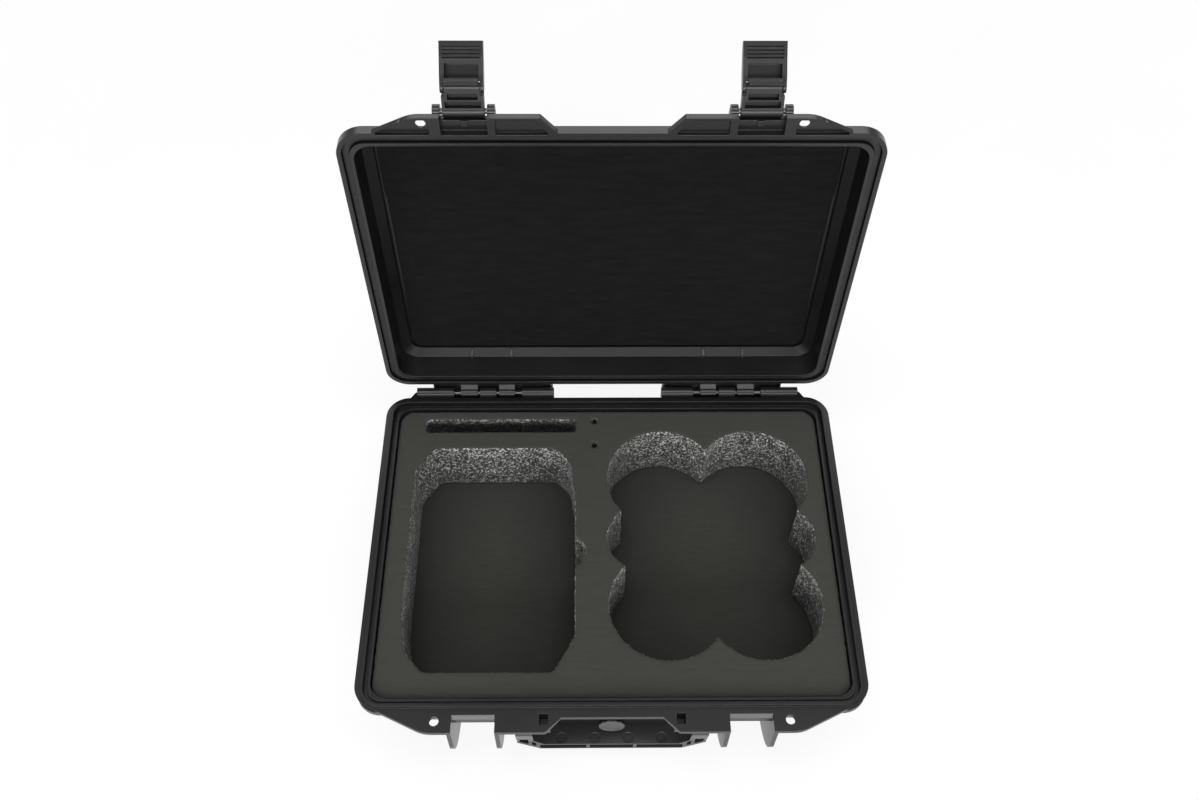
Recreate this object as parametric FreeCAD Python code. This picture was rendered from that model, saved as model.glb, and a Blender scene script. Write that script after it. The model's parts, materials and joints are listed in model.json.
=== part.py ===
import FreeCAD, Part
import math
import os

from FreeCAD import Base

# Hard plastic carrying case for a small drone and its controller, modelled with the lid open.
# Millimetres.  +X is to the right, +Y to the back (hinge side), +Z up; the front faces -Y.
# The origin is the centre of the base's flat underside.

# ---- driving dimensions ----------------------------------------------------------------------
rim_width = 300.0           # outer width of both rims
rim_depth = 223.0           # outer depth of both rims, without the front flange
rim_back_radius = 15.0
rim_front_radius = 16.0
base_height = 60.0          # underside to the parting plane
lid_height = 27.2           # lid's rim face to the outside of its top
part_line_gap = 0.3         # between the rims when the lid is shut
wall = 3.0
rim_thickness = 6.0
base_flange_thickness = 3.0
lid_flange_thickness = 3.6
rim_overhang = 6.0          # how far the rims stand out from the walls
side_draft = 5.0            # degrees, both ends and the back
front_slope = 12.4          # degrees, the base's front wall leans back under the flange
base_flange_reach = 11.5    # front flange, measured from the rim's front
lid_flange_reach = 10.3
flange_end_slant = 25.5     # degrees, both ends of the flanges
base_corner_y = -103.2      # where the slanted ends meet the sides
lid_corner_y = -101.4
recess_front_x = 38.5       # hand recess in both flanges
recess_back_x = 29.5
base_recess_depth = 8.7
lid_recess_depth = lid_flange_reach
lid_front_slope = 30.5      # degrees, the lid's front wall leans back above the flange
lid_rest_angle = 90.5       # how far the lid stands open in the model
hinge_behind_rim = 6.0
hinge_below_part_line = 2.7
barrel_radius = 3.8
hinge_pin_radius = 1.6
latch_x = 79.2
latch_gap = 25.0            # clear width of the notches in the base's flange
notch_x = 80.0              # their centres, a little outboard of the latches
link_rest_lift = 104.5      # link's angle up from hanging straight down, lid frame
lever_rest_lift = 129.5     # lever's angle up from hanging straight down, lid frame
link_length = 13.6
lever_length = 23.2
lever_half_width = 11.5
link_half_width = 11.2
lever_cheek = 1.8
latch_pin_radius = 1.5
lever_pin_radius = 1.3
ear_gap = 25.2              # between the lid's ears that hold one latch
ear_radius = 3.6
guard_thickness = 2.5
handle_half_width = 56.2
handle_arm_width = 9.9
handle_pin_radius = 2.0
padlock_radius = 2.8
padlock_x = 102.3
valve_z = 36.0
valve_cap_radius = 7.8
valve_stem_radius = 4.0
hinge_end_x = 44.5          # inboard end of each hinge on the lid
slot_x = 39.5               # small blind slots beside the hand recess
slot_half_width = 2.5
pad_thickness = 3.0
soft_gap = 0.4              # round the foam and the lid's pad
side_strip = 5.2            # slanted strip inside the lid, at its sides
end_strip = 3.4             # and along its back
foam_top_below_rim = 2.5
pocket_depth = 45.0
press_gap = 0.02            # pins held by their own body
running_gap = 0.06          # pins that turn in another body

# ---- sizes worked out from them --------------------------------------------------------------
half_w = rim_width / 2
half_d = rim_depth / 2
lid_face_z = base_height + part_line_gap
cavity_inset = rim_overhang + wall
hinge_y = half_d + hinge_behind_rim
hinge_z = base_height - hinge_below_part_line
rim_under_z = base_height - rim_thickness
flange_under_z = base_height - base_flange_thickness
base_flange_y = -half_d - base_flange_reach
lid_flange_y = -half_d - lid_flange_reach
base_recess_y = base_flange_y + base_recess_depth
lid_recess_y = lid_flange_y + lid_recess_depth
foam_top_z = base_height - foam_top_below_rim
pocket_floor_z = foam_top_z - pocket_depth
floor_z = 3.5
catch_y = -half_d - 3.2
catch_under_z = base_height - 6.0
link_pivot_y = -half_d - 8.7
link_pivot_z = base_height + 8.0
lever_pivot_z = link_pivot_z - link_length
handle_y = -half_d - 3.5
handle_z = base_height - 13.0

lid_top_z = lid_face_z + lid_height
lid_panel_z = lid_top_z - wall
lid_rim_top_z = lid_face_z + rim_thickness
lid_flange_top_z = lid_face_z + lid_flange_thickness
lid_strip_z = lid_face_z + 16.1     # where the slanted strip inside the lid begins
boss_y = -half_d + 1.5
padlock_y = -half_d - 4.6
slot_y = (-half_d - 6.7, -half_d - 0.5)
# left-hand knuckles from end to end; the middle one of the base locates the lid sideways
base_knuckles = [(-130.9, -105.4), (-87.8, -76.5), (-58.9, -37.0)]
lid_knuckles = [(-100.8, -89.2), (-74.7, -63.8)]

X_AXIS = Base.Vector(1, 0, 0)
Y_AXIS = Base.Vector(0, 1, 0)
Z_AXIS = Base.Vector(0, 0, 1)


# ---- general helpers -------------------------------------------------------------------------
def vec(x, y, z):
    return Base.Vector(x, y, z)


def box(x0, x1, y0, y1, z0, z1):
    return Part.makeBox(x1 - x0, y1 - y0, z1 - z0, vec(x0, y0, z0))


def rod_x(radius, x0, x1, y, z):
    return Part.makeCylinder(radius, x1 - x0, vec(x0, y, z), X_AXIS)


def rod_y(radius, y0, y1, x, z):
    return Part.makeCylinder(radius, y1 - y0, vec(x, y0, z), Y_AXIS)


def rod_z(radius, z0, z1, x, y):
    return Part.makeCylinder(radius, z1 - z0, vec(x, y, z0), Z_AXIS)


def fuse(shapes):
    return shapes[0].multiFuse(shapes[1:]).removeSplitter()


def mirrored(shape):
    return shape.mirror(vec(0, 0, 0), X_AXIS)


def both_sides(shape):
    return [shape, mirrored(shape)]


def export(shape, node):
    shape.exportStep("parts/" + node + ".step")


def rounded_outline(corners):
    """Closed outline in X-Y from (x, y, radius) corners, each one rounded by its radius."""
    count = len(corners)
    arcs = []
    for i in range(count):
        here = vec(corners[i][0], corners[i][1], 0)
        before = vec(corners[i - 1][0], corners[i - 1][1], 0)
        after = vec(corners[(i + 1) % count][0], corners[(i + 1) % count][1], 0)
        inward = (before - here).normalize()
        outward = (after - here).normalize()
        half_angle = inward.getAngle(outward) / 2
        run = corners[i][2] / math.tan(half_angle)
        middle = (inward + outward).normalize()
        reach = corners[i][2] / math.sin(half_angle) - corners[i][2]
        arcs.append((here + inward * run, here + middle * reach, here + outward * run))
    edges = []
    for i in range(count):
        start, mid, end = arcs[i]
        following = arcs[(i + 1) % count][0]
        edges.append(Part.Arc(start, mid, end).toShape())
        if (following - end).Length > 1e-6:
            edges.append(Part.makeLine(end, following))
    return Part.Wire(edges)


def slab(corners, z0, z1):
    """Plate between two heights with a rounded outline."""
    face = Part.Face(rounded_outline(corners))
    face.translate(vec(0, 0, z0))
    return face.extrude(vec(0, 0, z1 - z0))


def plate_x(points, x0, x1):
    """Plate square to X from (y, z) corner points."""
    loop = [vec(x0, y, z) for y, z in points]
    loop.append(loop[0])
    return Part.Face(Part.makePolygon(loop)).extrude(vec(x1 - x0, 0, 0))


def tapered_block(low, high):
    """Ruled solid between two rounded rectangles (x half, y front, y back, radius, z)."""
    wires = []
    for x, front, back, radius, z in (low, high):
        corners = [(-x, front, radius), (x, front, radius), (x, back, radius), (-x, back, radius)]
        wire = rounded_outline(corners)
        wire.translate(vec(0, 0, z))
        wires.append(wire)
    return Part.makeLoft(wires, True, True)


def rim_corners(inset):
    """Rounded rectangle that follows the rims, moved in by inset."""
    x = half_w - inset
    y = half_d - inset
    back = max(rim_back_radius - inset, 4.0)
    front = max(rim_front_radius - inset, 4.0)
    return [(-x, -y, front), (x, -y, front), (x, y, back), (-x, y, back)]


def rim_ring(outer_inset, inner_inset, z0, z1):
    return slab(rim_corners(outer_inset), z0, z1).cut(slab(rim_corners(inner_inset), z0, z1))


def flange_corners(front_y, recess_y, corner_y, corner_radius):
    """Rim outline with the front flange, its slanted ends and the hand recess."""
    end_x = half_w - (corner_y - front_y) / math.tan(math.radians(flange_end_slant))
    right = [
        (recess_back_x, recess_y, 1.2),
        (recess_front_x, front_y, 1.2),
        (end_x, front_y, 20.0),
        (half_w, corner_y, corner_radius),
        (half_w, half_d, rim_back_radius),
    ]
    left = [(-x, y, radius) for x, y, radius in reversed(right)]
    return right + left


# ---- base ------------------------------------------------------------------------------------
def front_wall_y(z):
    """Outside of the base's front wall at a height."""
    return -half_d + rim_overhang + (rim_under_z - z) * math.tan(math.radians(front_slope))


def wall_section(z, inset):
    """Section through the base's walls at a height, moved in by inset."""
    drop = max(rim_under_z - z, 0.0)
    lean = drop * math.tan(math.radians(side_draft))
    x = half_w - rim_overhang - lean - inset
    back = half_d - rim_overhang - lean - inset
    front = front_wall_y(rim_under_z - drop)
    return (x, front + inset, back, 12.0 - inset * 0.5, z)


def base_cavity():
    lower = tapered_block(wall_section(floor_z, wall), wall_section(rim_under_z, wall))
    upper = tapered_block(wall_section(rim_under_z, wall), wall_section(base_height + 1, wall))
    return lower.fuse(upper)


def latch_guard(x0, x1):
    """Plate beside a latch: square under the flange, its lower edge curving back to the wall."""
    front = base_flange_y
    curve = Part.BSplineCurve()
    curve.interpolate([vec(x0, front, 36), vec(x0, front + 2, 28), vec(x0, -106, 11), vec(x0, -94, 5)])
    top_back = vec(x0, -100, flange_under_z + 1)
    top_front = vec(x0, front, flange_under_z + 1)
    edges = [
        Part.makeLine(top_front, vec(x0, front, 36)),
        curve.toShape(),
        Part.makeLine(vec(x0, -94, 5), top_back),
        Part.makeLine(top_back, top_front),
    ]
    return Part.Face(Part.Wire(edges)).extrude(vec(x1 - x0, 0, 0))


def handle_lug(x0, x1):
    ear = rod_x(4.0, x0, x1, handle_y, handle_z)
    web = plate_x([(handle_y - 4, flange_under_z + 1), (handle_y - 4, handle_z), (handle_y, handle_z - 4),
                   (-101, 36), (-101, flange_under_z + 1)], x0, x1)
    return ear.fuse(web)


def rim_gusset(y, height):
    """Small rib under the rim's overhang at one end of the case."""
    inner = half_w - rim_overhang - 3
    outer = half_w - 1
    points = [vec(inner, y, rim_under_z + 1), vec(outer, y, rim_under_z + 1),
              vec(outer, y, rim_under_z), vec(inner, y, rim_under_z - height)]
    points.append(points[0])
    return Part.Face(Part.makePolygon(points)).extrude(vec(0, 2, 0))


def base_knuckle(x0, x1):
    barrel = rod_x(barrel_radius, x0, x1, hinge_y, hinge_z)
    web = plate_x([(hinge_y, hinge_z + 1.5), (half_d - 3, base_height - 1.2), (half_d - 3, 51.0),
                   (half_d, 51.0), (hinge_y + 1.5, hinge_z - 3.4)], x0, x1)
    return barrel.fuse(web)


def hinge_shelf():
    """Ledge that runs under one hinge, with a small gusset at its outer end."""
    shelf = box(base_knuckles[0][0], base_knuckles[2][1], half_d - 2, hinge_y + 3.0, 50.4, 52.0)
    outer = base_knuckles[0][0]
    gusset = slab([(outer - 7, half_d - 4, 0.5), (outer + 1, half_d - 4, 0.5), (outer + 1, hinge_y - 1, 0.5),
                   (outer - 1, hinge_y - 1, 0.5)], rim_under_z, base_height - 0.6)
    return shelf.fuse(gusset)


def base_features():
    """Everything that stands out from the tub's left half."""
    arm_outer = handle_half_width + 0.4
    arm_inner = handle_half_width - handle_arm_width - 0.4
    low = notch_x - latch_gap / 2
    high = notch_x + latch_gap / 2
    features = [
        latch_guard(-high - guard_thickness, -high),
        latch_guard(-low, -low + guard_thickness),
        handle_lug(-arm_inner, -arm_inner + 4.0),
        handle_lug(-arm_outer - 3.6, -arm_outer),
        box(-slot_x - slot_half_width - 1.2, -slot_x + slot_half_width + 1.2, slot_y[0] - 1.2, -half_d + 3,
            flange_under_z - 7.2, flange_under_z + 1),
    ]
    for x0, x1 in base_knuckles:
        features.append(base_knuckle(x0, x1))
    features.append(hinge_shelf())
    for y in (-75, -45, -15, 15, 45, 75):
        features.append(mirrored(rim_gusset(y, 9.0)))
    return features


def valve_boss():
    """Thickened wall behind the hand recess, with the valve's duct standing out of it."""
    half = 32.0
    under = 26.0
    plate_y = boss_y + 3.6
    plate = plate_x([(plate_y, flange_under_z + 1), (plate_y, under), (-97.0, under - 4),
                     (-97.0, flange_under_z + 1)], -half, half)
    duct = rod_y(valve_cap_radius - 0.5, boss_y, -98, 0, valve_z)
    return [plate, duct]


def base_shell():
    tub = tapered_block(wall_section(0, 0), wall_section(rim_under_z + 1, 0))
    foot_edges = [e for e in tub.Edges if e.BoundBox.ZMax < 0.01]
    tub = tub.makeFillet(7.0, foot_edges)
    flange_outline = flange_corners(base_flange_y, base_recess_y, base_corner_y, 15.0)
    flange = slab(flange_outline, flange_under_z, base_height)
    band = slab(rim_corners(1.2), rim_under_z, flange_under_z + 1)
    catch_half = latch_gap / 2 + 1
    catches = [box(x - catch_half, x + catch_half, catch_y, -half_d + 3, catch_under_z, base_height - 1)
               for x in (-notch_x, notch_x)]
    solids = [tub, flange, band] + catches + valve_boss()
    for feature in base_features():
        solids += both_sides(feature)
    body = fuse(solids)
    body = body.cut(base_cavity())
    # crest that presses into the lid's seal, and the step inside it for the lid's inner ridge
    body = body.cut(rim_ring(5.1, 7.4, base_height - 2.5, base_height + 1))
    body = body.cut(rim_ring(7.3, cavity_inset + 0.1, base_height - 0.4, base_height + 1))
    body = body.fuse(rim_ring(3.3, 5.1, base_height - 1, base_height + 2.0))
    for cutter in base_cutters():
        for side in both_sides(cutter):
            body = body.cut(side)
    valve_bore = rod_y(valve_stem_radius + press_gap, boss_y - 1, -92, 0, valve_z)
    seal_seat = rod_y(6.2, boss_y - 1, boss_y + 1.5, 0, valve_z)
    body = body.cut(valve_bore).cut(seal_seat)
    return body.removeSplitter()


def base_cutters():
    low = -notch_x - latch_gap / 2
    high = -notch_x + latch_gap / 2
    notch = box(low, high, base_flange_y - 5, catch_y, rim_under_z - 2, base_height + 5)
    undercut = box(low, high, catch_y - 1, -half_d + rim_overhang, rim_under_z - 1, catch_under_z)
    chamfer = plate_x([(catch_y - 1, base_height - 2), (catch_y - 1, base_height + 1),
                       (catch_y + 2.2, base_height + 1), (catch_y + 2.2, base_height),
                       (catch_y, base_height - 2)], low, high)
    padlock_hole = rod_z(padlock_radius, rim_under_z - 1, base_height + 1, -padlock_x, padlock_y)
    slot = box(-slot_x - slot_half_width, -slot_x + slot_half_width, slot_y[0], slot_y[1],
               flange_under_z - 6, base_height + 1)
    handle_bore = rod_x(handle_pin_radius + press_gap, -62, -41, handle_y, handle_z)
    hinge_bore = rod_x(hinge_pin_radius + press_gap, -124, -37, hinge_y, hinge_z)
    return [notch, undercut, chamfer, padlock_hole, slot, handle_bore, hinge_bore]


def hinge_pin_left():
    return rod_x(hinge_pin_radius, -123.8, -38.3, hinge_y, hinge_z)


def handle_pin_left():
    return rod_x(handle_pin_radius, -handle_half_width - 3.8, -handle_half_width + 14.0, handle_y, handle_z)


def pressure_valve():
    """Round cap with a knurled rim and a hollow stem pressed into the boss."""
    face_y = boss_y - 1.1
    cap = rod_y(valve_cap_radius, face_y, boss_y - 0.05, 0, valve_z)
    rim = [e for e in cap.Edges if e.BoundBox.YMax < face_y + 0.01 and e.BoundBox.XLength > valve_cap_radius]
    cap = cap.makeFillet(0.5, rim)
    stem = rod_y(valve_stem_radius, boss_y - 0.5, -99, 0, valve_z)
    vent = rod_y(1.5, boss_y + 1, -98, 0, valve_z)
    valve = cap.fuse(stem).cut(vent)
    dish = rod_y(5.6, face_y - 1, face_y + 0.3, 0, valve_z)
    valve = valve.cut(dish.cut(rod_y(3.0, face_y - 1, face_y + 1, 0, valve_z)))
    for i in range(12):
        angle = i * math.pi / 6
        x = (valve_cap_radius + 0.5) * math.cos(angle)
        z = valve_z + (valve_cap_radius + 0.5) * math.sin(angle)
        valve = valve.cut(rod_y(0.9, face_y - 1, boss_y, x, z))
    return valve.removeSplitter()


def valve_seal():
    outer = rod_y(6.0, boss_y + 0.05, boss_y + 1.45, 0, valve_z)
    return outer.cut(rod_y(valve_stem_radius + 0.1, boss_y - 1, boss_y + 3, 0, valve_z))


# ---- foam ------------------------------------------------------------------------------------
def foam_block(z0, z1):
    inset = wall + soft_gap
    shoulder = min(z1, rim_under_z)
    block = tapered_block(wall_section(z0, inset), wall_section(shoulder, inset))
    if z1 > shoulder:
        block = block.fuse(tapered_block(wall_section(shoulder, inset), wall_section(z1, inset)))
    return block.removeSplitter()


def controller_pocket():
    """Through pocket for the hand controller: tapered shoulders, front corners cut at a slant."""
    corners = [
        (-115.5, 71.7, 6.0), (-127.2, 54.0, 9.0), (-127.2, -46.0, 30.0), (-123.3, -72.5, 6.0),
        (-112.0, -85.5, 5.0), (-34.5, -85.5, 4.0), (-21.8, -62.0, 6.0), (-22.0, 36.0, 30.0),
        (-25.5, 60.0, 12.0), (-35.0, 71.7, 6.0),
    ]
    return slab(corners, pocket_floor_z - 1, foam_top_z + 1)


def finger_notch():
    return rod_z(11.0, foam_top_z - 30, foam_top_z + 1, -26.0, -5.5)


def drone_pocket():
    """Through pocket for a ring-guarded four-rotor drone: four lobes and a finger bay each side."""
    centre_x = 64.6
    centre_y = 3.2
    lobe_x = 29.4
    lobe_y = 45.2
    lobe_radius = 36.3
    bay_radius = 23.0
    z0 = pocket_floor_z - 1
    z1 = foam_top_z + 1
    pieces = [box(centre_x - 45, centre_x + 45, centre_y - 45, centre_y + 45, z0, z1)]
    for sx in (-1, 1):
        for sy in (-1, 1):
            pieces.append(rod_z(lobe_radius, z0, z1, centre_x + sx * lobe_x, centre_y + sy * lobe_y))
        pieces.append(rod_z(bay_radius, z0, z1, centre_x + sx * 43.2, centre_y + 1.5))
    return fuse(pieces)


def foam_insert():
    foam = foam_block(pocket_floor_z, foam_top_z)
    foam = foam.cut(controller_pocket())
    foam = foam.cut(finger_notch())
    foam = foam.cut(drone_pocket())
    foam = foam.cut(box(-122.8, -21.8, 85.4, 95.1, foam_top_z - 32, foam_top_z + 1))
    for y in (94.0, 74.6):
        foam = foam.cut(rod_z(2.2, foam_top_z - 25, foam_top_z + 1, -9.1, y))
    return foam


def foam_floor():
    return foam_block(floor_z + 0.2, pocket_floor_z - 0.05)


# ---- lid, drawn shut -------------------------------------------------------------------------
def lid_front_y(z):
    """Outside of the lid's front wall at a height; it leans back from the top of the rim."""
    rise = max(z - lid_rim_top_z, 0.0)
    return -half_d + rim_overhang + rise * math.tan(math.radians(lid_front_slope))


def lid_section(z, inset):
    lean = (z - lid_face_z) * math.tan(math.radians(side_draft))
    x = half_w - rim_overhang - lean - inset
    back = half_d - rim_overhang - lean - inset
    front = lid_front_y(z) + inset
    return (x, front, back, 12.0 - inset * 0.5, z)


def lid_knuckle(x0, x1):
    barrel = rod_x(barrel_radius, x0, x1, hinge_y, hinge_z)
    web = plate_x([(hinge_y - 3.6, hinge_z), (half_d + 0.6, base_height + 0.8),
                   (half_d + 0.6, lid_face_z + 3), (hinge_y + 3.4, lid_face_z + 3),
                   (hinge_y + 3.6, hinge_z)], x0, x1)
    return barrel.fuse(web)


def lid_hinge_cover():
    """Cover along the lid's back edge that carries the knuckles and hides them when it is open."""
    outline = [(-120.0, half_d - 3, 1.0), (-hinge_end_x, half_d - 3, 1.0), (-hinge_end_x, half_d + 1.2, 0.3),
               (-hinge_end_x + 6.8, half_d + 1.2, 6.2), (-hinge_end_x + 6.8, hinge_y + 8.0, 1.0),
               (-120.0, hinge_y + 8.0, 4.0)]
    cover = slab(outline, lid_face_z + 1.5, lid_face_z + 4.2)
    lip = plate_x([(half_d - 2, lid_face_z + 0.1), (half_d + 2.6, lid_face_z + 0.3),
                   (half_d + 3.0, lid_face_z + 4), (half_d - 2, lid_rim_top_z + 3)],
                  -119.5, -hinge_end_x - 0.5)
    cover = cover.fuse(lip)
    for x0, x1 in ((-118.4, -116.0), (-105.2, -101.4), (-62.6, -59.0)):
        cover = cover.cut(box(x0, x1, half_d + 0.8, half_d + 4.6, lid_face_z - 1, lid_face_z + 3.0))
    return cover


def latch_ear(x0, x1):
    ear = rod_x(ear_radius, x0, x1, link_pivot_y, link_pivot_z)
    crown_y = lid_front_y(78) + 1.5
    web = plate_x([(link_pivot_y, link_pivot_z - ear_radius), (-half_d + 6, lid_face_z + 1),
                   (-half_d + 8, 68), (crown_y, 78), (crown_y - 2, 78),
                   (link_pivot_y, link_pivot_z + ear_radius)], x0, x1)
    return ear.fuse(web)


def lid_features():
    low = -latch_x - ear_gap / 2
    high = -latch_x + ear_gap / 2
    bar = box(low, high, -half_d - 5.1, -half_d + 9, lid_face_z + 4.4, lid_face_z + 8.4)
    nub = box(-latch_x - 2, -latch_x + 2, -half_d - 5.1, -half_d - 1, lid_face_z + 3.8, lid_face_z + 4.6)
    features = [latch_ear(low - 4.0, low), latch_ear(high, high + 4.0), bar, nub, lid_hinge_cover()]
    for x0, x1 in lid_knuckles:
        features.append(lid_knuckle(x0, x1))
    for y in (-75, -45, -15, 15, 45, 75):
        rib = rim_gusset(y, 7.0)
        rib = rib.mirror(vec(0, 0, rim_under_z), Z_AXIS)
        rib.translate(vec(0, 0, lid_rim_top_z - rim_under_z))
        features.append(mirrored(rib))
    return features


def flange_pockets():
    """Cored-out pockets in the underside of the lid's flange."""
    z0 = lid_face_z - 1
    z1 = lid_face_z + lid_flange_thickness - 1.2
    y_back = -half_d + 1.2
    y_front = lid_flange_y + 1.5
    corner = slab([(-130.0, y_back, 1.0), (-110.5, y_front, 1.0), (-97.8, y_front, 1.0),
                   (-97.8, y_back, 1.0)], z0, z1)
    inner = slab([(-62.5, y_back, 1.0), (-62.5, y_front, 1.0), (-41.5, y_front, 1.0),
                  (-33.5, y_back, 1.0)], z0, z1)
    return [corner, inner]


def lid_ledge_section(z):
    """Edge of the flat recess that holds the pad, past the slanted strip."""
    x, front, back, radius, start = lid_section(lid_strip_z, wall)
    return (x - side_strip, front + end_strip + 4.0, back - end_strip, radius - 3.0, z)


def lid_cavity():
    x, front, back, radius, z = lid_section(lid_face_z, wall)
    mouth = (x, front, back, radius, lid_face_z - 1)
    rim = lid_section(lid_rim_top_z, wall)
    strip = lid_section(lid_strip_z, wall)
    pad_face_z = lid_panel_z - pad_thickness
    cavity = tapered_block(mouth, rim)
    cavity = cavity.fuse(tapered_block(rim, strip))
    cavity = cavity.fuse(tapered_block(strip, lid_ledge_section(pad_face_z)))
    return cavity.fuse(tapered_block(lid_ledge_section(pad_face_z), lid_ledge_section(lid_panel_z)))


def lid_shell():
    crown = tapered_block(lid_section(lid_rim_top_z - 1, 0), lid_section(lid_top_z, 0))
    top_edges = [e for e in crown.Edges if e.BoundBox.ZMin > lid_top_z - 0.01]
    crown = crown.makeFillet(5.0, top_edges)
    band = slab(rim_corners(0), lid_face_z, lid_rim_top_z)
    flange_outline = flange_corners(lid_flange_y, lid_recess_y, lid_corner_y, 17.0)
    flange = slab(flange_outline, lid_face_z, lid_flange_top_z)
    solids = [crown, band, flange]
    notch_low = -latch_x - ear_gap / 2
    notch_high = -latch_x + ear_gap / 2
    notch = box(notch_low, notch_high, lid_flange_y - 2, -half_d + 1.5, lid_face_z - 1, lid_face_z + 9)
    body = fuse(solids)
    for side in both_sides(notch):
        body = body.cut(side)
    features = []
    for feature in lid_features():
        features += both_sides(feature)
    body = fuse([body] + features)
    # shallow panel on the top, with three ribs left standing in it
    panel_corners = [(-118, -74, 10), (118, -74, 10), (118, 82, 10), (-118, 82, 10)]
    panel = slab(panel_corners, lid_top_z - 1.2, lid_top_z + 1)
    for y in (-35, 4, 43):
        rib_corners = [(-102, y - 5, 4.9), (102, y - 5, 4.9), (102, y + 5, 4.9), (-102, y + 5, 4.9)]
        panel = panel.cut(slab(rib_corners, lid_top_z - 3, lid_top_z + 3))
    body = body.cut(panel)
    ribs = chamfer_ribs()
    body = body.cut(lid_cavity().cut(ribs))
    body = body.cut(rim_ring(2.7, 7.2, lid_face_z - 1, lid_face_z + 4.0))
    cutters = flange_pockets()
    cutters.append(rod_z(padlock_radius, lid_face_z - 1, lid_rim_top_z + 1, -padlock_x, padlock_y))
    cutters.append(rod_x(latch_pin_radius + press_gap, notch_low - 6, notch_high + 6,
                         link_pivot_y, link_pivot_z))
    cutters.append(rod_x(hinge_pin_radius + running_gap, -124, -37, hinge_y, hinge_z))
    for cutter in cutters:
        for side in both_sides(cutter):
            body = body.cut(side)
    return body.removeSplitter()


def chamfer_ribs():
    """Small ribs left standing on the slanted strip along the lid's back wall."""
    ledge = lid_ledge_section(lid_panel_z)
    ribs = []
    for x in (-93, -66, 66, 93):
        ribs.append(plate_x([(ledge[2] + 0.2, lid_panel_z + 1), (ledge[2] + 8, lid_panel_z + 1),
                             (ledge[2] + 8, lid_strip_z - 0.5), (ledge[2] + 2.0, lid_strip_z - 0.5),
                             (ledge[2] + 0.2, lid_panel_z - pad_thickness - 1)], x - 0.9, x + 0.9))
    return fuse(ribs)


def lid_seal():
    return rim_ring(2.9, 7.0, lid_face_z + 2.2, lid_face_z + 3.95)


def lid_pad():
    x, front, back, radius, z = lid_ledge_section(lid_panel_z)
    corners = [(-x + soft_gap, front + soft_gap, radius), (x - soft_gap, front + soft_gap, radius),
               (x - soft_gap, back - soft_gap, radius), (-x + soft_gap, back - soft_gap, radius)]
    return slab(corners, lid_panel_z - pad_thickness - 0.1, lid_panel_z - 0.1)


# ---- latches, drawn hanging in the shut position ---------------------------------------------
def latch_pin():
    return rod_x(latch_pin_radius, -latch_x - 16.4, -latch_x + 16.4, link_pivot_y, link_pivot_z)


def lever_pin():
    return rod_x(lever_pin_radius, -latch_x - lever_half_width + 0.1, -latch_x + lever_half_width - 0.1,
                 link_pivot_y, lever_pivot_z)


def latch_link():
    """Short link from the lid's ears to the lever, cored on its inner side."""
    y = link_pivot_y
    top = link_pivot_z
    low = lever_pivot_z
    wide = rod_x(3.0, -link_half_width, link_half_width, y, top)
    wide = wide.fuse(box(-link_half_width, link_half_width, y - 3.0, y + 2.4, low + 4.2, top))
    inner = lever_half_width - lever_cheek - 0.3
    narrow = rod_x(2.4, -inner, inner, y, low).fuse(box(-inner, inner, y - 2.4, y + 2.4, low, low + 6))
    link = wide.fuse(narrow)
    core = box(-inner + 1.4, inner - 1.4, y - 1.4, y + 4, low + 3.0, low + 6.4)
    wide_core = box(-link_half_width + 1.7, link_half_width - 1.7, y - 1.4, y + 4, low + 7.4, top - 2.6)
    link = link.cut(core).cut(wide_core)
    link = link.cut(rod_x(latch_pin_radius + running_gap, -20, 20, y, top))
    link = link.cut(rod_x(lever_pin_radius + press_gap, -20, 20, y, low))
    link.translate(vec(-latch_x, 0, 0))
    return link.removeSplitter()


def latch_lever():
    """Lever with side cheeks, a window, finger ribs at its tip and a hook bar for the catch."""
    y = link_pivot_y
    top = lever_pivot_z
    tip = top - lever_length
    w = lever_half_width
    outline = [(y - 3.2, top), (y - 4.4, top - 6), (y - 4.0, tip + 3), (y - 2.8, tip), (y + 0.6, tip),
               (y + 1.4, tip + 8), (y + 3.0, top - 6), (y + 3.0, top)]
    body = plate_x(outline, -w, w)
    body = body.fuse(rod_x(3.1, -w, w, y, top))
    link_room = box(-w + lever_cheek, w - lever_cheek, y - 6, y + 6, top - 2.9, top + 6)
    window = box(-w + 2.6, w - 2.6, y - 3.2, y + 6, tip + 11.4, top - 2.9)
    body = body.cut(link_room).cut(window)
    hook_top = catch_under_z - 0.3
    hook = plate_x([(y - 3.5, top - 2.7), (y + 2.8, top - 2.7), (y + 4.6, hook_top), (y + 8.2, hook_top),
                    (y + 8.2, hook_top - 2.0), (y + 5.6, hook_top - 2.0), (y + 3.6, top - 4.4),
                    (y - 3.5, top - 4.4)],
                   -w + lever_cheek + 0.7, w - lever_cheek - 0.7)
    body = body.fuse(hook)
    for i in range(4):
        z = tip + 2.6 + 1.95 * i
        body = body.cut(box(-w + 1.9, w - 1.9, y - 0.5, y + 4, z - 0.45, z + 0.45))
    body = body.cut(rod_x(lever_pin_radius + running_gap, -20, 20, y, top))
    body.translate(vec(-latch_x, 0, 0))
    return body.removeSplitter()


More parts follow.
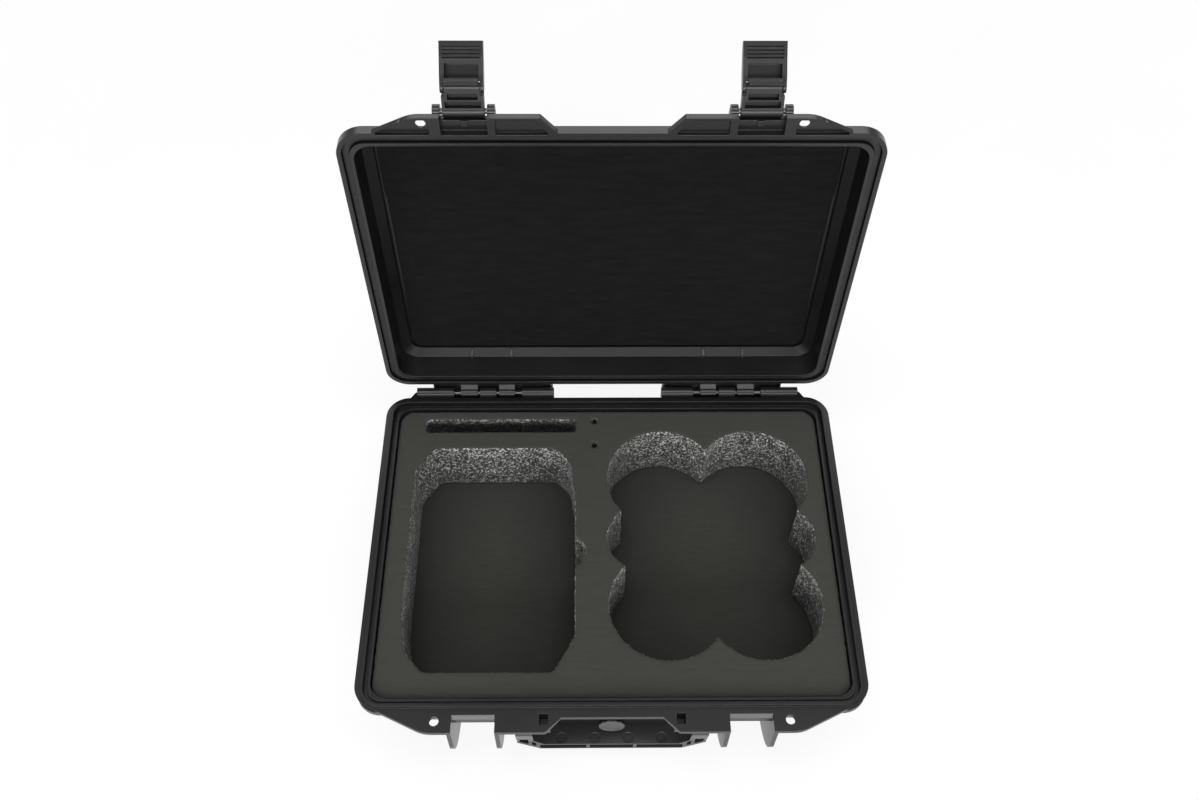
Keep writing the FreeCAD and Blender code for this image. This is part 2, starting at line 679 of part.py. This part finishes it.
# ---- carrying handle, drawn folded down ------------------------------------------------------
def carry_handle():
    """Bail handle: two arms on pins and a grip with finger hollows and a ribbed front channel."""
    front = -half_d - 5.5
    back = front + 15.0
    low = 15.9
    top = 23.2
    slant_x = 42.5
    slant_top = 26.0
    arm_in = handle_half_width - handle_arm_width
    w = handle_half_width
    arm = rod_x(5.5, -w, -arm_in, handle_y, handle_z)
    arm = arm.fuse(plate_x([(handle_y - 5.5, handle_z), (front, slant_top + 3), (front, slant_top),
                            (back, slant_top), (back, slant_top + 3), (handle_y + 5.5, handle_z)],
                           -w, -arm_in))
    front_view = [(-w, slant_top + 3), (-w, slant_top), (-slant_x, low), (slant_x, low), (w, slant_top),
                  (w, slant_top + 3), (arm_in, slant_top + 3), (slant_x - 2.5, top), (2.5 - slant_x, top),
                  (-arm_in, slant_top + 3)]
    loop = [vec(x, front, z) for x, z in front_view]
    loop.append(loop[0])
    grip = Part.Face(Part.makePolygon(loop)).extrude(vec(0, back - front, 0))
    handle = fuse([grip] + both_sides(arm))
    back_edge = [e for e in handle.Edges if e.BoundBox.XLength > 70 and e.BoundBox.YMin > back - 0.1]
    handle = handle.makeFillet(2.4, back_edge)
    for x in (-30.0, -10.0, 10.0, 30.0):
        handle = handle.cut(rod_z(3.3, top - 0.7, top + 3, x, front + 3.9))
    for side in both_sides(rod_x(handle_pin_radius + running_gap, -62, -40, handle_y, handle_z)):
        handle = handle.cut(side)
    return handle.cut(handle_channel(front, low, top)).removeSplitter()


def handle_channel(front, low, top):
    """Channel along the front of the grip, crossed by ribs, and pockets in the arms' ends."""
    depth = 3.5
    channel = box(-44.5, 44.5, front - 1, front + depth, low + 0.9, top - 1.0)
    for x in (-43.6, -14.0, 14.0, 43.6):
        channel = channel.cut(box(x - 1.0, x + 1.0, front - 2, front + 5, low - 2, top))
    outer = 1.6 - handle_half_width
    arm_view = [(outer, 27.4), (outer + 5.2, 23.8), (outer + 5.2, handle_z - 7), (outer, handle_z - 7)]
    corner_view = [(outer + 7.2, 22.4), (-45.0, 20.4), (-45.0, 25.5), (outer + 7.2, 28.0)]
    cutters = [channel]
    for view in (arm_view, corner_view):
        loop = [vec(x, front - 1, z) for x, z in view]
        loop.append(loop[0])
        pocket = Part.Face(Part.makePolygon(loop)).extrude(vec(0, depth + 1, 0))
        cutters.extend(both_sides(pocket))
    return fuse(cutters)


# ---- rest pose -------------------------------------------------------------------------------
def swing(shape, y, z, degrees):
    """Turn a shape about an axis along X so that its front rises by the angle."""
    turned = shape.copy()
    turned.rotate(vec(0, y, z), X_AXIS, -degrees)
    return turned


def open_lid(shape):
    return swing(shape, hinge_y, hinge_z, lid_rest_angle)


def open_link(shape):
    return open_lid(swing(shape, link_pivot_y, link_pivot_z, link_rest_lift))


def open_lever(shape):
    lifted = swing(shape, link_pivot_y, lever_pivot_z, lever_rest_lift - link_rest_lift)
    return open_link(lifted)


def main():
    os.makedirs("parts", exist_ok=True)
    export(base_shell(), "base_shell")
    export(foam_insert(), "foam_insert")
    export(foam_floor(), "foam_floor")
    export(pressure_valve(), "pressure_valve")
    export(valve_seal(), "valve_seal")
    export(open_lid(lid_shell()), "lid_shell")
    export(open_lid(lid_seal()), "lid_seal")
    export(open_lid(lid_pad()), "lid_pad")
    export(carry_handle(), "carry_handle")
    paired = {
        "hinge_pin": hinge_pin_left(),
        "handle_pin": handle_pin_left(),
        "latch_pin": open_lid(latch_pin()),
        "latch_link": open_link(latch_link()),
        "lever_pin": open_link(lever_pin()),
        "latch_lever": open_lever(latch_lever()),
    }
    for name, shape in paired.items():
        export(shape, name + "_left")
        export(mirrored(shape), name + "_right")


main()
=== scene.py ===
import json
import math

import bmesh
import bpy
from mathutils import Matrix, Vector, noise


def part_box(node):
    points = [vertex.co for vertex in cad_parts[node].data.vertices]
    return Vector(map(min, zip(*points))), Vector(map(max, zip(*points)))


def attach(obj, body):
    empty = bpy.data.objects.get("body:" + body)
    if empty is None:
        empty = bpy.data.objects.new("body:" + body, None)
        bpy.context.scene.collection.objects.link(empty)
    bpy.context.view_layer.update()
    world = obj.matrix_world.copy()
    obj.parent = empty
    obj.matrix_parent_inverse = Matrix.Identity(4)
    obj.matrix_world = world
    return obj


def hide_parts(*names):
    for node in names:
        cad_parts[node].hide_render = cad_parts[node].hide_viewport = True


# Looks of the opened carrying case.  Metres, same frame as the CAD model: origin under the
# middle of the base, +X right, +Y to the hinges, +Z up.

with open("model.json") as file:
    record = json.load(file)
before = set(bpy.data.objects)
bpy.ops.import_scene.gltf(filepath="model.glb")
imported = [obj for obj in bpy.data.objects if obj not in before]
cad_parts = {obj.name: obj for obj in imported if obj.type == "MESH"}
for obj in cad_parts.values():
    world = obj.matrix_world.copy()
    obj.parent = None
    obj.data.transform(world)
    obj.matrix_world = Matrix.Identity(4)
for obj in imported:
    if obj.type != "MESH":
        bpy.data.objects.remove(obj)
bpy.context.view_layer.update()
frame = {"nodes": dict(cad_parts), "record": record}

MM = 0.001

# camera: place, then how far it looks down, turns right and rolls, in degrees
CAMERA_PLACE = Vector((-13.9, -355.7, 710.5)) * MM
CAMERA_PITCH = 54.43
CAMERA_YAW = 1.02
CAMERA_ROLL = 0.69
SENSOR_WIDTH = 36.0
CAMERA_LENS = 35.066
CLIP_START = 0.01
CLIP_END = 20.0

# soft pieces: size of the quads they are rebuilt from
FOAM_VOXEL = 1.1 * MM
PAD_VOXEL = 2.0 * MM

# foam surface: noise scales per metre and depths in mm
CELL_SCALE = 620.0
FINE_CELL_SCALE = 1300.0
TEAR_SCALE = 300.0
FACE_WAVE_SCALE = 14.0
CELL_DEPTH = 0.40
TEAR_DEPTH = 0.45
WALL_SETBACK = 0.12
FACE_WAVE_DEPTH = 0.14
FACE_SETBACK = 0.10
WALL_FROM_TILT = 0.80
WALL_TILT_SPAN = 0.35

# foam colour: tones of the skived face, and the painted shadow and painted glints of broken cells
# on the walls
FACE_DARK = 0.031
FACE_PALE = 0.040
FACE_SPECK = 0.024
CELL_SHADOW = 0.020
CELL_GLINT = 0.54
GLINT_SCALE = 700.0

# painted shade on the foam deep in the pockets: its tone, how far around it looks for occluding
# surfaces, share of the unshaded tone left
PAINTED_SHADE_TONE = 0.006
PAINTED_SHADE_REACH = 55.0 * MM
PAINTED_SHADE_SHARE = 0.20

# plastics: tone and roughness; the handle's paler tone is painted light and the latches' darker
# tone is painted shade
SHELL_LOOK = (0.0075, 0.32)
HANDLE_LOOK_PAINTED_LIGHT = (0.0320, 0.34)
LATCH_LOOK_PAINTED_SHADE = (0.0060, 0.36)
VALVE_LOOK = (0.085, 0.42)
PLASTIC_EDGE = 0.45 * MM
PLASTIC_WEAR = 0.5 * MM
PLASTIC_GRAIN = 2600.0

# fabric of the lid pad: tones of its fibres, of lint on it and of the weave; threads per metre
FIBRE_DARK = 0.0018
FIBRE_PALE = 0.0050
LINT = 0.012
WEAVE = 0.005
THREADS_ACROSS = 260.0
THREADS_ALONG = 330.0

# the middle of a noise, stretched to the full range when a pattern is made from it
NOISE_LOW = 0.3
NOISE_HIGH = 0.7

# lid pad: lean of its face, shrink before it swells, slack in its face (mm, noise per metre)
LID_LEAN = math.radians(0.5)
PAD_SHRINK = 0.25
PAD_FACE_SETBACK = 0.55
SLACK_SCALE = 16.0
SLACK_DEPTH = 0.30
RIPPLE_SCALE = 45.0
RIPPLE_DEPTH = 0.12

# cloth swelling of the pad
PUFF_FRAMES = 8
PUFF_PRESSURE = 4.0
PUFF_HELD_DEPTH = 1.0 * MM
PUFF_CAP = 0.7 * MM

# rubber rings
SEAL_EDGE = 0.5 * MM
SEAL_EDGE_ANGLE = math.radians(50)

# studio: the floor's own glow and how pale it is to the eye, and how much light it bounces
FLOOR_HALF = 6.0
FLOOR_BOUNCE = 0.28
FLOOR_SHADE = 0.12
FLOOR_GLOW = 0.88
SKY_LIGHT = 0.50
SKY_SEEN = 0.96
SKY_TOP_TONE = 0.62
SKY_TOP_HEIGHT = 0.72

# softboxes: place, the point they face, width, height (m) and power (W)
SOFTBOXES = {
    "front_softbox": ((0.0, -1.9, 0.85), (0.0, 0.0, 0.10), 2.2, 0.80, 42.0),
    "back_softbox": ((0.0, 1.9, 1.70), (0.0, 0.0, 0.10), 2.6, 1.00, 21.0),
    "top_softbox": ((0.0, -0.15, 1.60), (0.0, 0.13, 0.07), 1.3, 0.40, 10.5),
}


# ---- node helpers ----------------------------------------------------------------------------
class Nodes:
    """Small helper that builds one node material."""

    def __init__(self, name):
        self.material = bpy.data.materials.new(name)
        self.material.use_nodes = True
        self.tree = self.material.node_tree
        self.tree.nodes.clear()
        self.output = self.tree.nodes.new("ShaderNodeOutputMaterial")
        self.shader = self.tree.nodes.new("ShaderNodeBsdfPrincipled")
        self.tree.links.new(self.shader.outputs[0], self.output.inputs[0])
        coordinates = self.tree.nodes.new("ShaderNodeTexCoord")
        self.place = coordinates.outputs["Object"]

    def node(self, kind, inputs=None, **settings):
        made = self.tree.nodes.new(kind)
        for key, value in settings.items():
            setattr(made, key, value)
        for key, value in (inputs or {}).items():
            self.put(made.inputs[key], value)
        return made

    def put(self, socket, value):
        if isinstance(value, bpy.types.NodeSocket):
            self.tree.links.new(value, socket)
        else:
            socket.default_value = value

    def set(self, key, value):
        self.put(self.shader.inputs[key], value)

    def stretched(self, x, y, z):
        """Object position scaled per axis, for stretched patterns."""
        mapped = self.node("ShaderNodeMapping", {"Vector": self.place, "Scale": (x, y, z)})
        return mapped.outputs[0]

    def noise(self, scale, detail=4.0, roughness=0.55, where=None):
        place = where or self.place
        inputs = {"Vector": place, "Scale": scale, "Detail": detail, "Roughness": roughness}
        return self.node("ShaderNodeTexNoise", inputs).outputs[0]

    def threads(self, scale, distortion, direction):
        """Slightly wandering parallel threads."""
        inputs = {"Vector": self.place, "Scale": scale, "Distortion": distortion, "Detail": 2.0}
        made = self.node("ShaderNodeTexWave", inputs, bands_direction=direction)
        return made.outputs["Fac"]

    def math(self, operation, a, b=0.0, clamp=False):
        made = self.node("ShaderNodeMath", {0: a, 1: b}, operation=operation, use_clamp=clamp)
        return made.outputs[0]

    def add(self, a, b):
        return self.math("ADD", a, b)

    def times(self, a, b):
        return self.math("MULTIPLY", a, b)

    def remap(self, value, low, high, out_low=0.0, out_high=1.0):
        inputs = {"Value": value, "From Min": low, "From Max": high}
        inputs.update({"To Min": out_low, "To Max": out_high})
        return self.node("ShaderNodeMapRange", inputs).outputs[0]

    def spread(self, pattern, out_low=0.0, out_high=1.0):
        """The middle of a noise stretched over the given range."""
        return self.remap(pattern, NOISE_LOW, NOISE_HIGH, out_low, out_high)

    def mix(self, share, a, b):
        """Colour mix; sockets 0, 6 and 7 of the node are the share and the two colours."""
        made = self.node("ShaderNodeMix", data_type="RGBA")
        self.put(made.inputs[0], share)
        self.put(made.inputs[6], a)
        self.put(made.inputs[7], b)
        return made.outputs[2]

    def bump(self, height, strength, distance, normal=None):
        inputs = {"Height": height, "Strength": strength, "Distance": distance}
        made = self.node("ShaderNodeBump", inputs)
        if normal is not None:
            self.put(made.inputs["Normal"], normal)
        return made.outputs[0]

    def rounded(self, radius):
        """Normal that turns smoothly over edges, as if they were rounded."""
        made = self.node("ShaderNodeBevel", {"Radius": radius}, samples=6)
        return made.outputs[0]

    def edge_wear(self, radius, gain):
        """0 on flats, rising to 1 on edges: how far the rounded normal turns from the true one."""
        geometry = self.node("ShaderNodeNewGeometry")
        pair = {0: self.rounded(radius), 1: geometry.outputs["Normal"]}
        same = self.node("ShaderNodeVectorMath", pair, operation="DOT_PRODUCT")
        turned = self.math("SUBTRACT", 1.0, same.outputs["Value"])
        return self.math("MULTIPLY", turned, gain, clamp=True)


def grey(value, warmth=0.0):
    return (value * (1 + warmth), value, value * (1 - warmth), 1.0)


def olive(value):
    """Charcoal with a slight olive cast."""
    return (value, value, value * 0.84, 1.0)


# ---- materials -------------------------------------------------------------------------------
def moulded_plastic(name, tone, roughness):
    """Black injection-moulded plastic with an eroded grain and paler, smoother edges."""
    m = Nodes(name)
    mottling = m.remap(m.noise(26.0, 5.0), 0.35, 0.65)
    flow = m.noise(7.0, 3.0, where=m.stretched(1.0, 2.2, 1.6))
    base = m.mix(mottling, grey(tone * 0.85, -0.01), grey(tone * 1.15))
    wear = m.edge_wear(PLASTIC_WEAR, 3.0)
    scuffs = m.remap(m.noise(420.0, 3.0), 0.45, 0.7, 0.15, 1.0)
    m.set("Base Color", m.mix(m.times(wear, scuffs), base, grey(tone * 3.0)))
    grain = m.noise(PLASTIC_GRAIN, 2.0)
    sheen = m.spread(flow, roughness - 0.04, roughness + 0.05)
    m.set("Roughness", m.add(sheen, m.spread(grain, -0.03, 0.03)))
    m.set("IOR", 1.50)
    fine = m.bump(grain, 0.16, 0.05 * MM, m.rounded(PLASTIC_EDGE))
    m.set("Normal", m.bump(m.noise(60.0, 2.0), 0.05, 0.2 * MM, fine))
    return m.material


def foam_face(m, fine):
    """Skived top of the foam: short fibres over a fine mottle."""
    fibre = m.spread(m.noise(90.0, 6.0, where=m.stretched(1.0, 5.5, 5.5)))
    face = m.mix(fibre, olive(FACE_DARK), olive(FACE_PALE))
    return m.mix(m.spread(fine, 0.0, 0.6), face, olive(FACE_SPECK))


def cut_foam(name):
    """Closed-cell foam: a fine skived face, cut walls with broken cells shown as painted glints
    over painted shadow, and painted shade deep in the pockets.
    """
    m = Nodes(name)
    cut = m.node("ShaderNodeAttribute", attribute_name="cut").outputs["Fac"]
    edge_break = m.remap(m.noise(520.0, 2.0), 0.35, 0.65, -0.25, 0.25)
    wall = m.remap(m.add(cut, edge_break), 0.35, 0.65)
    fine = m.noise(1900.0, 2.0)
    cells = m.noise(GLINT_SCALE, 2.0, 0.7)
    patches = m.spread(m.noise(110.0, 2.0), -0.04, 0.04)
    # painted glints: pale specks over a painted shadow tone on the cut walls
    glint = m.remap(m.add(cells, patches), 0.51, 0.61)
    painted_cell_glint_and_shadow = m.mix(glint, olive(CELL_SHADOW), grey(CELL_GLINT, 0.01))
    # painted shade: ambient occlusion darkens the foam's colour in the pockets and corners
    occlusion = m.node("ShaderNodeAmbientOcclusion", {"Distance": PAINTED_SHADE_REACH}, samples=6)
    unshaded_share = m.remap(occlusion.outputs["AO"], 0.25, 1.0, PAINTED_SHADE_SHARE, 1.0)
    unshaded_tone = m.mix(wall, foam_face(m, fine), painted_cell_glint_and_shadow)
    m.set("Base Color", m.mix(unshaded_share, olive(PAINTED_SHADE_TONE), unshaded_tone))
    m.set("Roughness", m.remap(wall, 0.0, 1.0, 0.92, 0.55))
    m.set("Sheen Weight", 0.10)
    m.set("Sheen Roughness", 0.6)
    height = m.add(m.times(fine, 0.35), m.times(m.times(cells, wall), 2.0))
    m.set("Normal", m.bump(height, 0.8, 0.35 * MM))
    return m.material


def pad_fabric(name):
    """Thin black laid fabric bonded on foam: long fibres crossed by a fine weave."""
    m = Nodes(name)
    fibres = m.noise(260.0, 4.0, where=m.stretched(0.22, 1.0, 1.0))
    across = m.threads(THREADS_ACROSS, 2.0, "X")
    along = m.threads(THREADS_ALONG, 2.5, "Z")
    weave = m.add(m.times(across, 0.4), m.times(along, 0.6))
    lint = m.remap(m.noise(700.0, 3.0), 0.62, 0.75)
    base = m.mix(m.remap(fibres, 0.35, 0.65), grey(FIBRE_DARK), grey(FIBRE_PALE))
    base = m.mix(m.times(lint, 0.5), base, grey(LINT))
    m.set("Base Color", m.mix(m.times(weave, 0.4), base, grey(WEAVE)))
    m.set("Roughness", 0.9)
    m.set("Specular IOR Level", 0.18)
    m.set("Sheen Weight", 0.02)
    m.set("Normal", m.bump(m.add(m.times(weave, 0.7), fibres), 0.5, 0.12 * MM))
    return m.material


def rubber(name):
    """Matt black rubber with a faint bloom."""
    m = Nodes(name)
    bloom = m.remap(m.noise(180.0, 4.0), 0.35, 0.7)
    m.set("Base Color", m.mix(bloom, grey(0.010), grey(0.018)))
    m.set("Roughness", m.spread(m.noise(900.0, 2.0), 0.55, 0.75))
    m.set("Normal", m.bump(m.noise(1500.0, 2.0), 0.15, 0.05 * MM))
    return m.material


def steel(name):
    """Blackened drawn steel wire with fine lines along it."""
    m = Nodes(name)
    lines = m.noise(900.0, 3.0, where=m.stretched(0.03, 1.0, 1.0))
    m.set("Base Color", m.mix(m.spread(lines), grey(0.07, 0.01), grey(0.14, 0.01)))
    m.set("Metallic", 1.0)
    m.set("Roughness", m.spread(lines, 0.22, 0.38))
    m.set("Normal", m.bump(lines, 0.15, 0.03 * MM, m.rounded(0.2 * MM)))
    return m.material


def floor_finish():
    """Studio white: nearly shadowless to the eye, darker as a source of bounced light."""
    m = Nodes("studio_floor")
    path = m.node("ShaderNodeLightPath")
    seen = m.math("MAXIMUM", path.outputs["Is Camera Ray"], path.outputs["Is Glossy Ray"])
    tone = m.spread(m.noise(3.0, 3.0), 0.98, 1.0)
    m.set("Base Color", m.mix(seen, grey(FLOOR_BOUNCE), grey(FLOOR_SHADE)))
    m.set("Emission Color", grey(1.0))
    m.set("Emission Strength", m.times(m.times(seen, FLOOR_GLOW), tone))
    m.set("Roughness", m.spread(m.noise(40.0, 3.0), 0.75, 0.85))
    m.set("Specular IOR Level", 0.0)
    return m.material


FOAM = cut_foam("foam_charcoal")
PAD = pad_fabric("pad_black")
SEAL = rubber("seal_rubber")
# latches: a darker tone of the same plastic as the handle, painted shade
SHADED_LATCH_FINISH = moulded_plastic("latch_plastic", *LATCH_LOOK_PAINTED_SHADE)
FINISHES = {
    "shell_plastic": moulded_plastic("shell_plastic", *SHELL_LOOK),
    # handle: a paler tone of the same plastic as the latches, painted light
    "handle_plastic": moulded_plastic("handle_plastic", *HANDLE_LOOK_PAINTED_LIGHT),
    "valve_grey": moulded_plastic("valve_grey", *VALVE_LOOK),
    "foam_charcoal": FOAM,
    "pad_black": PAD,
    "seal_rubber": SEAL,
    "pin_steel": steel("pin_steel"),
}


# ---- pieces ----------------------------------------------------------------------------------
def finish_of(part):
    """The latches get a blacker tone than the handle, though moulded from the same plastic: painted
    shade on the latches, painted light on the handle.
    """
    if part["node"].startswith(("latch_lever", "latch_link")):
        return SHADED_LATCH_FINISH
    return FINISHES[part["material_slot"]]


def dress_cad_nodes():
    """Every CAD node gets its finish."""
    for part in frame["record"]["subparts"]:
        materials = frame["nodes"][part["node"]].data.materials
        materials.clear()
        materials.append(finish_of(part))


def linked(name, data):
    """A new object of the scene that holds the data."""
    made = bpy.data.objects.new(name, data)
    bpy.context.scene.collection.objects.link(made)
    return made


def new_piece(name, mesh, body, material, replaced):
    """Shows the mesh as a smooth piece that rides on a body in place of a CAD node."""
    piece = linked(name, mesh)
    mesh.materials.clear()
    mesh.materials.append(material)
    for polygon in mesh.polygons:
        polygon.use_smooth = True
    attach(piece, body)
    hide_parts(replaced)


def evaluated_mesh(holder):
    """A free mesh of the holder with its modifiers applied; the holder is removed."""
    evaluated = holder.evaluated_get(bpy.context.evaluated_depsgraph_get())
    mesh = bpy.data.meshes.new_from_object(evaluated)
    bpy.data.objects.remove(holder)
    return mesh


def edited(mesh):
    """The mesh as a bmesh for editing."""
    skin = bmesh.new()
    skin.from_mesh(mesh)
    return skin


def written(skin, mesh):
    """The mesh filled from the bmesh, which is freed."""
    skin.to_mesh(mesh)
    skin.free()
    return mesh


def welded_copy(node):
    """The node's mesh as one closed skin, for remeshing."""
    skin = edited(frame["nodes"][node].data)
    bmesh.ops.remove_doubles(skin, verts=skin.verts, dist=0.002 * MM)
    return written(skin, bpy.data.meshes.new(node + "_skin"))


def remeshed(mesh, voxel):
    """The mesh rebuilt from even quads of the voxel size."""
    holder = linked("holder", mesh)
    modifier = holder.modifiers.new("even", "REMESH")
    modifier.mode = "VOXEL"
    modifier.voxel_size = voxel
    modifier.adaptivity = 0.0
    return evaluated_mesh(holder)


def smoothed(skin, turns):
    """Relaxes the skin in place, the given number of times."""
    for _ in range(turns):
        bmesh.ops.smooth_vert(skin, verts=skin.verts, factor=0.5,
                              use_axis_x=True, use_axis_y=True, use_axis_z=True)
    skin.normal_update()


def foam_shift(place, cut):
    """How far the foam's surface stands out at a place, in mm: torn cells on cut walls."""
    cell = noise.noise(place * CELL_SCALE) + 0.6 * noise.noise(place * FINE_CELL_SCALE)
    tear = noise.noise(place * TEAR_SCALE)
    wave = noise.noise(place * FACE_WAVE_SCALE)
    wall = CELL_DEPTH * cell + TEAR_DEPTH * tear - WALL_SETBACK
    face = FACE_WAVE_DEPTH * wave - FACE_SETBACK
    return cut * wall + (1 - cut) * face


def roughen_foam(mesh, low, high):
    """Marks the cut walls and breaks them up; waves the flat faces a little."""
    skin = edited(mesh)
    smoothed(skin, 2)
    cut = skin.verts.layers.float.new("cut")
    shifts = []
    for v in skin.verts:
        v[cut] = max(0.0, min(1.0, (WALL_FROM_TILT - abs(v.normal.z)) / WALL_TILT_SPAN))
        shifts.append(v.normal * foam_shift(v.co, v[cut]) * MM)
    for v, shift in zip(skin.verts, shifts):
        v.co += shift
        for axis in range(3):
            v.co[axis] = min(max(v.co[axis], low[axis]), high[axis])
    return written(skin, mesh)


def foam_piece(node, name):
    """A foam node rebuilt with torn cut walls."""
    low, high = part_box(node)
    voxel = FOAM_VOXEL
    mesh = roughen_foam(remeshed(welded_copy(node), voxel), low, high)
    new_piece(name, mesh, "base", FOAM, node)


def add_cloth(holder):
    """Cloth that swells by inner pressure, without gravity, and is held by its back."""
    cloth = holder.modifiers.new("cloth", "CLOTH")
    cloth.settings.quality = 4
    cloth.settings.use_pressure = True
    cloth.settings.uniform_pressure_force = PUFF_PRESSURE
    cloth.settings.vertex_group_mass = "held"
    cloth.settings.effector_weights.gravity = 0.0
    cloth.collision_settings.use_collision = False


def puffed(mesh, outward):
    """Swells a closed skin by cloth simulation with its back held, moving no point past the cap."""
    start = [v.co.copy() for v in mesh.vertices]
    deepest = min(co.dot(outward) for co in start)
    back = [i for i, co in enumerate(start) if co.dot(outward) < deepest + PUFF_HELD_DEPTH]
    holder = linked("puff", mesh)
    holder.vertex_groups.new(name="held").add(back, 1.0, "REPLACE")
    add_cloth(holder)
    for step in range(1, PUFF_FRAMES + 1):
        bpy.context.scene.frame_set(step)
    evaluated = holder.evaluated_get(bpy.context.evaluated_depsgraph_get())
    swollen = [v.co.copy() for v in evaluated.data.vertices]
    bpy.context.scene.frame_set(1)
    bpy.data.objects.remove(holder)
    for v, origin, moved in zip(mesh.vertices, start, swollen):
        shift = moved - origin
        if shift.length > PUFF_CAP:
            shift *= PUFF_CAP / shift.length
        v.co = origin + shift
    return mesh


def lid_liner():
    """Thin fabric-faced pad: swollen skin, edges pulled in, a little slack in the face."""
    outward = Vector((0, -math.cos(LID_LEAN), math.sin(LID_LEAN)))
    skin = edited(remeshed(welded_copy("lid_pad"), PAD_VOXEL))
    smoothed(skin, 3)
    for v in skin.verts:
        front = max(0.0, v.normal.dot(outward))
        v.co -= (v.normal * PAD_SHRINK + outward * front * PAD_FACE_SETBACK) * MM
    mesh = written(skin, bpy.data.meshes.new("lid_liner_skin"))
    mesh = puffed(mesh, outward)
    for v in mesh.vertices:
        front = max(0.0, v.normal.dot(outward))
        slack = noise.noise(v.co * SLACK_SCALE) * SLACK_DEPTH
        ripple = noise.noise(v.co * RIPPLE_SCALE) * RIPPLE_DEPTH
        v.co += outward * front * (slack + ripple) * MM
    new_piece("lid_liner_pad", mesh, "lid", PAD, "lid_pad")


def soft_seal(node, name, body):
    """Rubber ring with rounded edges, made from the CAD ring's skin."""
    holder = linked("ring", welded_copy(node))
    bevel = holder.modifiers.new("round", "BEVEL")
    bevel.width = SEAL_EDGE
    bevel.segments = 3
    bevel.limit_method = "ANGLE"
    bevel.angle_limit = SEAL_EDGE_ANGLE
    new_piece(name, evaluated_mesh(holder), body, SEAL, node)


# ---- studio ----------------------------------------------------------------------------------
def build_floor():
    """Square stage floor under the case."""
    mesh = bpy.data.meshes.new("floor")
    signs = ((-1, -1), (1, -1), (1, 1), (-1, 1))
    corners = [(x * FLOOR_HALF, y * FLOOR_HALF, 0) for x, y in signs]
    mesh.from_pydata(corners, [], [(0, 1, 2, 3)])
    mesh.materials.append(floor_finish())
    linked("floor", mesh)


def area_light(name, place, target, width, height, power):
    """A rectangular softbox at a place, turned to a target."""
    light = bpy.data.lights.new(name, "AREA")
    light.shape = "RECTANGLE"
    light.size = width
    light.size_y = height
    light.energy = power
    lamp = linked(name, light)
    lamp.location = place
    lamp.rotation_mode = "QUATERNION"
    lamp.rotation_quaternion = (Vector(target) - Vector(place)).to_track_quat("-Z", "Y")


def sky_strength(tree):
    """Dim as a light, near white where the camera sees it behind the floor."""
    path = tree.nodes.new("ShaderNodeLightPath")
    strength = tree.nodes.new("ShaderNodeMapRange")
    strength.inputs["To Min"].default_value = SKY_LIGHT
    strength.inputs["To Max"].default_value = SKY_SEEN
    tree.links.new(path.outputs["Is Camera Ray"], strength.inputs["Value"])
    return strength.outputs[0]


def sky_colour(tree):
    """White at the horizon, greyer overhead."""
    coordinates = tree.nodes.new("ShaderNodeTexCoord")
    split = tree.nodes.new("ShaderNodeSeparateXYZ")
    ramp = tree.nodes.new("ShaderNodeValToRGB")
    tree.links.new(coordinates.outputs["Generated"], split.inputs[0])
    tree.links.new(split.outputs["Z"], ramp.inputs[0])
    horizon, top = ramp.color_ramp.elements
    horizon.position = 0.0
    horizon.color = grey(1.0)
    top.position = SKY_TOP_HEIGHT
    top.color = grey(SKY_TOP_TONE)
    return ramp.outputs[0]


def build_light():
    """Soft white sky and three softboxes."""
    world = bpy.data.worlds.new("studio")
    bpy.context.scene.world = world
    world.use_nodes = True
    tree = world.node_tree
    tree.nodes.clear()
    output = tree.nodes.new("ShaderNodeOutputWorld")
    background = tree.nodes.new("ShaderNodeBackground")
    tree.links.new(sky_colour(tree), background.inputs["Color"])
    tree.links.new(sky_strength(tree), background.inputs["Strength"])
    tree.links.new(background.outputs[0], output.inputs[0])
    for name, (place, target, width, height, power) in SOFTBOXES.items():
        area_light(name, place, target, width, height, power)
    bpy.context.scene.view_settings.view_transform = "Standard"


def camera_turn():
    """Rotation of a camera that looks ahead and down, with a slight yaw and roll."""
    pitch = math.radians(CAMERA_PITCH)
    yaw = math.radians(CAMERA_YAW)
    roll = math.radians(CAMERA_ROLL)
    level = Vector((math.cos(yaw), -math.sin(yaw), 0))
    heading = Vector((math.sin(yaw), math.cos(yaw), 0))
    ahead = heading * math.cos(pitch) + Vector((0, 0, -math.sin(pitch)))
    upward = level.cross(ahead)
    right = level * math.cos(roll) + upward * math.sin(roll)
    up = upward * math.cos(roll) - level * math.sin(roll)
    return Matrix((right, up, -ahead)).transposed()


def build_camera():
    """Camera that looks into the opened case from above its front."""
    data = bpy.data.cameras.new("camera")
    data.sensor_width = SENSOR_WIDTH
    data.lens = CAMERA_LENS
    data.clip_start = CLIP_START
    data.clip_end = CLIP_END
    camera = linked("camera", data)
    camera.matrix_world = Matrix.Translation(CAMERA_PLACE) @ camera_turn().to_4x4()
    bpy.context.scene.camera = camera


dress_cad_nodes()
foam_piece("foam_insert", "foam_tray")
foam_piece("foam_floor", "foam_bottom_sheet")
lid_liner()
soft_seal("lid_seal", "lid_seal_ring", "lid")
soft_seal("valve_seal", "valve_seal_ring", "base")
build_floor()
build_light()
build_camera()
